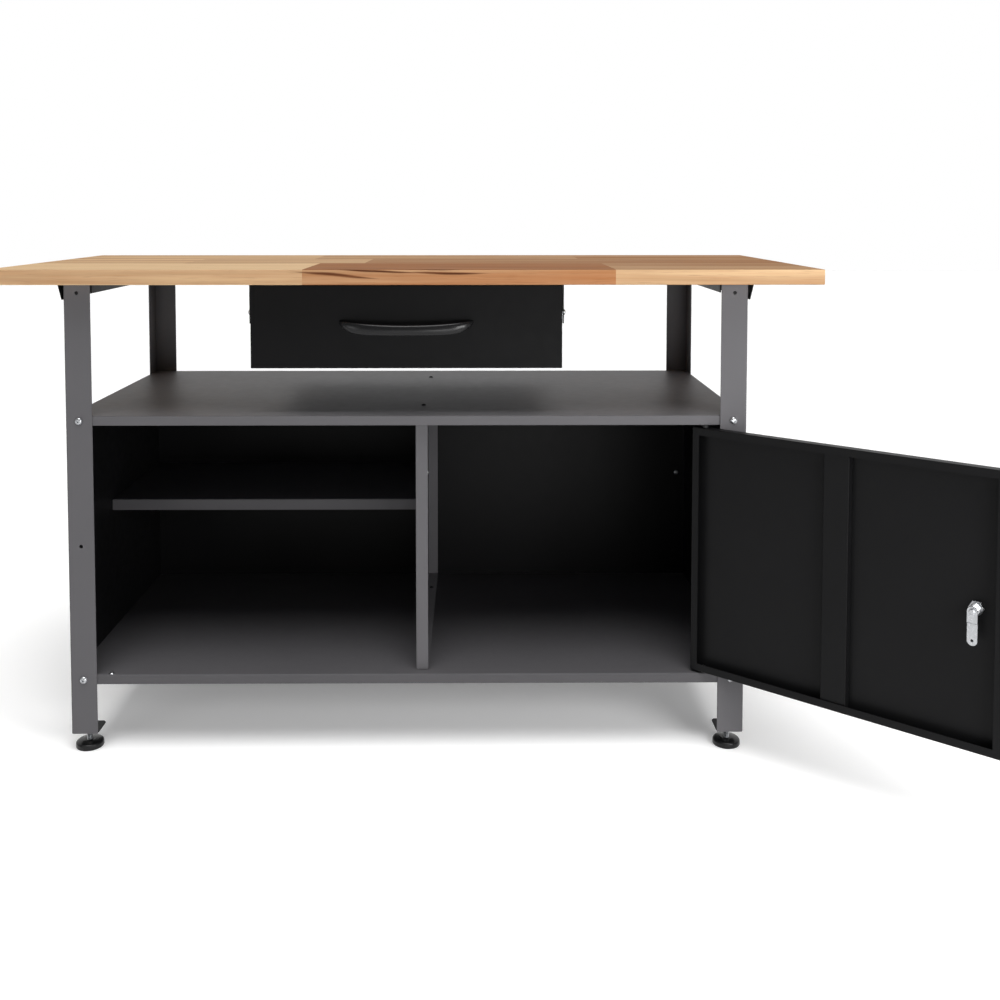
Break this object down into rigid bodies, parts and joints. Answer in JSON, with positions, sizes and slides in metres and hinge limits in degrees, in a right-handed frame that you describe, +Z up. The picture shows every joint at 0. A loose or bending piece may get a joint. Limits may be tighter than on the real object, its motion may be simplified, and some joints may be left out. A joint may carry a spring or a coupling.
{
  "type": "workbench with cabinet",
  "caption": "Workshop bench with a hardwood top on bolted steel angle legs, a hanging drawer, an open shelf and a sheet-steel cabinet with a lockable hinged door.",
  "frame": {"origin": "on the floor, under the middle of the leg frame", "axes": "+Z up, front faces -Y, +X to the right seen from the front"},
  "size_m": [1.6138, 0.8797, 0.85],
  "materials": {
    "hardwood": "oiled edge-glued hardwood",
    "grey_paint": "satin graphite grey powder coat",
    "black_paint": "satin black powder coat",
    "zinc": "bright zinc plate",
    "black_plastic": "black moulded plastic"
  },
  "bodies": {
    "frame": {"worktop": "hardwood", "mid_shelf": "grey_paint", "bottom_panel": "grey_paint", "divider": "grey_paint", "inner_shelf": "grey_paint", "leg_front_left": "grey_paint", "leg_front_right": "grey_paint", "leg_rear_left": "grey_paint", "leg_rear_right": "grey_paint", "top_rail_left": "black_paint", "top_rail_right": "black_paint", "side_panel_left": "black_paint", "side_panel_right": "black_paint", "back_panel": "black_paint", "drawer_hanger_left": "black_paint", "drawer_hanger_right": "black_paint", "foot_plate_front_left": "black_paint", "foot_plate_front_right": "black_paint", "foot_plate_rear_left": "black_paint", "foot_plate_rear_right": "black_paint", "frame_bolt_front_left_upper": "zinc", "frame_bolt_front_left_lower": "zinc", "frame_bolt_front_right_upper": "zinc", "frame_bolt_front_right_lower": "zinc", "frame_bolt_rear_left_upper": "zinc", "frame_bolt_rear_left_lower": "zinc", "frame_bolt_rear_right_upper": "zinc", "frame_bolt_rear_right_lower": "zinc", "inner_shelf_bolt_left_front": "zinc", "inner_shelf_bolt_left_rear": "zinc", "inner_shelf_bolt_right_front": "zinc", "inner_shelf_bolt_right_rear": "zinc", "drawer_runner_left": "zinc", "drawer_runner_right": "zinc", "hinge_bush_upper": "black_plastic", "hinge_bush_lower": "black_plastic"},
    "door": {"door_panel": "black_paint", "door_stiffener": "black_paint", "hinge_pin_upper": "zinc", "hinge_pin_lower": "zinc", "lock_barrel": "zinc", "lock_nut": "zinc"},
    "lock_cam": {"lock_plug": "zinc", "lock_cam": "zinc", "cam_screw": "zinc"},
    "drawer": {"drawer_front": "black_paint", "drawer_tray": "black_paint", "drawer_back": "black_paint", "drawer_handle": "black_plastic", "drawer_slide_left": "zinc", "drawer_slide_right": "zinc"},
    "foot_front_left": {"foot_stud_front_left": "zinc", "foot_pad_front_left": "black_plastic"},
    "foot_front_right": {"foot_stud_front_right": "zinc", "foot_pad_front_right": "black_plastic"},
    "foot_rear_left": {"foot_stud_rear_left": "zinc", "foot_pad_rear_left": "black_plastic"},
    "foot_rear_right": {"foot_stud_rear_right": "zinc", "foot_pad_rear_right": "black_plastic"}
  },
  "joints": [
    {"name": "door_hinge", "type": "hinge", "parent": "frame", "child": "door", "pos_m": [0.52, -0.265, 0.356], "axis": [0, 0, 1], "range_deg": [-139.9, 2]},
    {"name": "lock_turn", "type": "hinge", "parent": "door", "child": "lock_cam", "pos_m": [0.87019, -0.55009, 0.356], "axis": [-0.6441, -0.7649, 0], "range_deg": [0, 90]},
    {"name": "drawer_slide", "type": "slide", "parent": "frame", "child": "drawer", "axis": [0, -1, 0], "range_m": [0, 0.38]},
    {"name": "foot_turn_front_left", "type": "hinge", "parent": "frame", "child": "foot_front_left", "pos_m": [-0.566, -0.2485, 0.03], "axis": [0, 0, 1], "continuous": true},
    {"name": "foot_turn_front_right", "type": "hinge", "parent": "frame", "child": "foot_front_right", "pos_m": [0.566, -0.2485, 0.03], "axis": [0, 0, 1], "continuous": true},
    {"name": "foot_turn_rear_left", "type": "hinge", "parent": "frame", "child": "foot_rear_left", "pos_m": [-0.566, 0.2485, 0.03], "axis": [0, 0, 1], "continuous": true},
    {"name": "foot_turn_rear_right", "type": "hinge", "parent": "frame", "child": "foot_rear_right", "pos_m": [0.566, 0.2485, 0.03], "axis": [0, 0, 1], "continuous": true}
  ]
}
